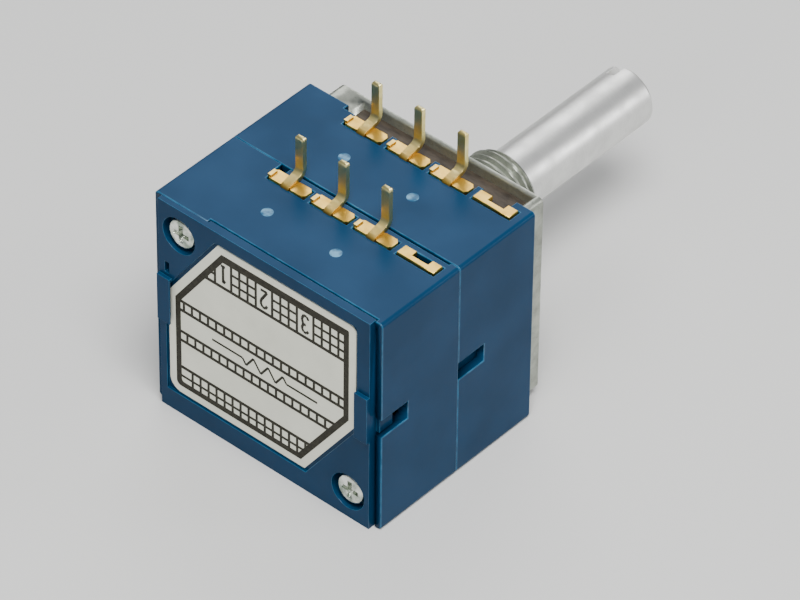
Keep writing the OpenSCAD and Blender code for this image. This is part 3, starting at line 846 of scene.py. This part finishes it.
PIN_W = 0.9
PIN_T = 0.5
PAD_TOP = TOP + 0.2
PAD_T = 0.5
PAD_NEAR = 0.3
PAD_FAR = 2.17
PAD_HALF_DEPTH = 0.67
PAD_CORNER = 0.3
PAD_SETBACK = 1.65
LEAF_SETBACK = 1.7
LEAF_W = 2.0
LEAF_T = 0.3


def add_sweep(mesh, path, width, thickness, x):
    """A strip of that width along X and that thickness, along a path in Y and Z."""
    rings = []
    for k, (y, z) in enumerate(path):
        before, after = path[max(k - 1, 0)], path[min(k + 1, len(path) - 1)]
        along = Vector((after[0] - before[0], after[1] - before[1])).normalized()
        across = Vector((-along.y, along.x)) * thickness / 2
        rings.append([mesh.verts.new(Vector((x + sx * width / 2, y + s * across.x, z + s * across.y)) * MM)
                      for sx, s in ((-1, -1), (1, -1), (1, 1), (-1, 1))])
    for a, b in zip(rings, rings[1:]):
        join_rings(mesh, a, b)
    mesh.faces.new(rings[0][::-1])
    mesh.faces.new(rings[-1])


def bend(corner, before, after, reach, steps):
    """Points round a corner between two points, starting and ending reach away from it."""
    c, a, b = Vector(corner), Vector(before), Vector(after)
    start, end = c + (a - c).normalized() * reach, c + (b - c).normalized() * reach
    points = []
    for k in range(steps + 1):
        t = k / steps
        points.append(tuple(start * (1 - t) ** 2 + c * 2 * t * (1 - t) + end * t ** 2))
    return points


def add_pads(mesh, x, y):
    """Two rounded, dished pads, one each side of x; the one at -X is a hair lower."""
    y0, y1 = y - PAD_HALF_DEPTH, y + PAD_HALF_DEPTH
    cut = PAD_CORNER
    for x0, x1, drop in ((x + PAD_NEAR, x + PAD_FAR, 0.0), (x - PAD_FAR, x - PAD_NEAR, 0.03)):
        outline = [(x0 + cut, y0), (x1 - cut, y0), (x1, y0 + cut), (x1, y1 - cut),
                   (x1 - cut, y1), (x0 + cut, y1), (x0, y1 - cut), (x0, y0 + cut)]
        add_prism(mesh, outline, PAD_TOP - PAD_T, PAD_TOP - drop, "z")
    round_edges(mesh, sharp_edges(mesh), 0.3, 4)
    tops = [f for f in mesh.faces if f.normal.z > 0.99 and f.calc_center_median().z > (PAD_TOP - 0.1) * MM]
    for thickness, depth in ((0.1, -0.05), (0.14, -0.08)):
        bmesh.ops.inset_individual(mesh, faces=tops, thickness=thickness * MM, depth=depth * MM)


def add_lip(mesh, x, y):
    """The upturned end of the pad at +X."""
    outline = rectangle(y - 0.36, y + 0.5, PAD_TOP - 0.4, PAD_TOP + 0.17)
    add_prism(mesh, outline, x + 1.8, x + 2.18, "x")
    round_edges(mesh, sharp_edges(mesh), 0.17, 4)


def add_pin(mesh, x, pin_y, pad_y, tip_z):
    """The pin: up out of the slot behind the pads, forward over them, and up to its rounded tip."""
    foot = (pad_y + 0.6, PAD_TOP - 0.1)
    knee = (pin_y, PAD_TOP + 0.36)
    tip = (pin_y, tip_z)
    path = [(foot[0] + 0.02, foot[1] - 0.35)]
    path += bend(foot, (foot[0], foot[1] - 0.5), knee, 0.24, 6)
    path += bend(knee, foot, tip, 0.75, 12)
    path += [(pin_y, tip_z - 0.5), tip]
    add_sweep(mesh, path, PIN_W, PIN_T * 0.98, x)
    top_edges = [e for e in mesh.edges if all(v.co.z > (tip_z - 0.02) * MM for v in e.verts)]
    round_edges(mesh, top_edges, 0.24, 4)
    round_edges(mesh, sharp_edges(mesh, angle=50), 0.23, 5)


def terminal_piece(node):
    """A terminal: pads, lip, pin, and the leaf that goes down to the element board."""
    low, high = box_mm(node)
    x = (low.x + high.x) / 2
    pad_y = low.y + PAD_SETBACK
    leaf_y = low.y + LEAF_SETBACK
    mesh, lip, pin, leaf = (bmesh.new() for _ in range(4))
    add_pads(mesh, x, pad_y)
    add_lip(lip, x, pad_y)
    add_pin(pin, x, low.y + PIN_T / 2, pad_y, high.z)
    leaf_outline = rectangle(x - LEAF_W / 2, x + LEAF_W / 2, low.z, PAD_TOP - 0.3)
    add_prism(leaf, leaf_outline, leaf_y, leaf_y + LEAF_T, "y")
    for part in (lip, pin, leaf):
        data = bpy.data.meshes.new("part")
        part.to_mesh(data)
        part.free()
        mesh.from_mesh(data)
        bpy.data.meshes.remove(data)
    return make_object(mesh, node + "_piece", MATERIALS["gold_plate"], "body", [node])


def blank_piece(node):
    """A terminal without a pin, its upper edges rounded."""
    mesh = copy_mesh(node)
    round_edges(mesh, sharp_edges(mesh, lambda p: p.z > TOP - 0.1), 0.22, 4)
    return refined(node, mesh)


# ---------- all pieces ----------

front_plate_piece()
bush_thread_piece()
turned_piece("washer", 0.12)
turned_piece("hex_nut", 0.07)
turned_piece("shaft", 0.07)
turned_piece("thrust_washer", 0.05)
turned_piece("retaining_ring", 0.05)
turned_piece("stop_plate", 0.05)
screws_piece()
housing_piece("front_housing")
housing_piece("rear_housing")
cover_piece()
ejector_marks()
label_piece()
label_print_piece()
for row in ("front", "rear"):
    for place in ("1", "2", "3"):
        terminal_piece(f"{row}_terminal_{place}")
    blank_piece(f"{row}_terminal_blank")


# ---------- floor, light, camera ----------

REST_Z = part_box("front_housing")[0].z
CAMERA_AZIMUTH = 220.5
CAMERA_ELEVATION = 40.7
CAMERA_DISTANCE = 0.567
CAMERA_ROLL = 0.69
CAMERA_WIDTH_ANGLE = 7.2
AIM = Vector((-1.8 * MM, 9.2 * MM, -2.1 * MM))


def direction(azimuth, elevation):
    """Unit vector from the object to a viewer at that azimuth, which is 0 on -Y and grows towards +X."""
    a, e = math.radians(azimuth), math.radians(elevation)
    return Vector((math.sin(a) * math.cos(e), -math.cos(a) * math.cos(e), math.sin(e)))


def add_floor():
    """A plain pale floor a hair under the face that the part lies on."""
    bpy.ops.mesh.primitive_plane_add(size=4, location=(0, 0, REST_Z - 0.01 * MM))
    floor = bpy.context.object
    floor.name = "floor"
    surface = Surface("floor", (0.55, 0.55, 0.54), roughness=0.6, specular=0.3)
    floor.data.materials.append(surface.material)


def add_area_light(name, azimuth, elevation, distance, size, power):
    """A square soft light that faces the object, at azimuth degrees round it as the camera's are counted."""
    light = bpy.data.lights.new(name, "AREA")
    light.shape = "SQUARE"
    light.size = size
    light.energy = power
    lamp = bpy.data.objects.new(name, light)
    bpy.context.scene.collection.objects.link(lamp)
    lamp.location = AIM + direction(azimuth, elevation) * distance
    lamp.rotation_euler = (AIM - lamp.location).to_track_quat("-Z", "Y").to_euler()


def add_world():
    """Soft studio surroundings: bright overhead, and darker towards the horizon."""
    world = bpy.data.worlds.new("studio")
    bpy.context.scene.world = world
    world.use_nodes = True
    tree = world.node_tree
    place = tree.nodes.new("ShaderNodeTexCoord")
    split = tree.nodes.new("ShaderNodeSeparateXYZ")
    tree.links.new(place.outputs["Generated"], split.inputs["Vector"])
    ramp = tree.nodes.new("ShaderNodeValToRGB")
    ramp.color_ramp.elements[0].position = 0.0
    ramp.color_ramp.elements[0].color = (0.16, 0.17, 0.18, 1)
    ramp.color_ramp.elements[1].position = 0.85
    ramp.color_ramp.elements[1].color = (0.85, 0.87, 0.90, 1)
    tree.links.new(split.outputs["Z"], ramp.inputs["Fac"])
    background = tree.nodes["Background"]
    tree.links.new(ramp.outputs["Color"], background.inputs["Color"])
    background.inputs["Strength"].default_value = 0.5


def add_camera():
    """A camera at the photo's viewing angle, aimed at the body."""
    data = bpy.data.cameras.new("camera")
    data.sensor_fit = "HORIZONTAL"
    data.angle = math.radians(CAMERA_WIDTH_ANGLE)
    data.clip_start = 0.01
    camera = bpy.data.objects.new("camera", data)
    bpy.context.scene.collection.objects.link(camera)
    camera.location = direction(CAMERA_AZIMUTH, CAMERA_ELEVATION) * CAMERA_DISTANCE
    turn = (AIM - camera.location).to_track_quat("-Z", "Y").to_matrix().to_4x4()
    turn = turn @ Matrix.Rotation(math.radians(CAMERA_ROLL), 4, "Z")
    camera.rotation_euler = turn.to_euler()
    bpy.context.scene.camera = camera


add_floor()
add_world()
add_area_light("key", 235, 68, 0.5, 0.22, 4.2)
add_area_light("sheen", 38, 42, 0.7, 0.4, 1.8)
add_area_light("fill", 200, 30, 0.8, 0.3, 1.4)
add_area_light("edge", 307, 20, 0.6, 0.15, 0.9)
add_camera()
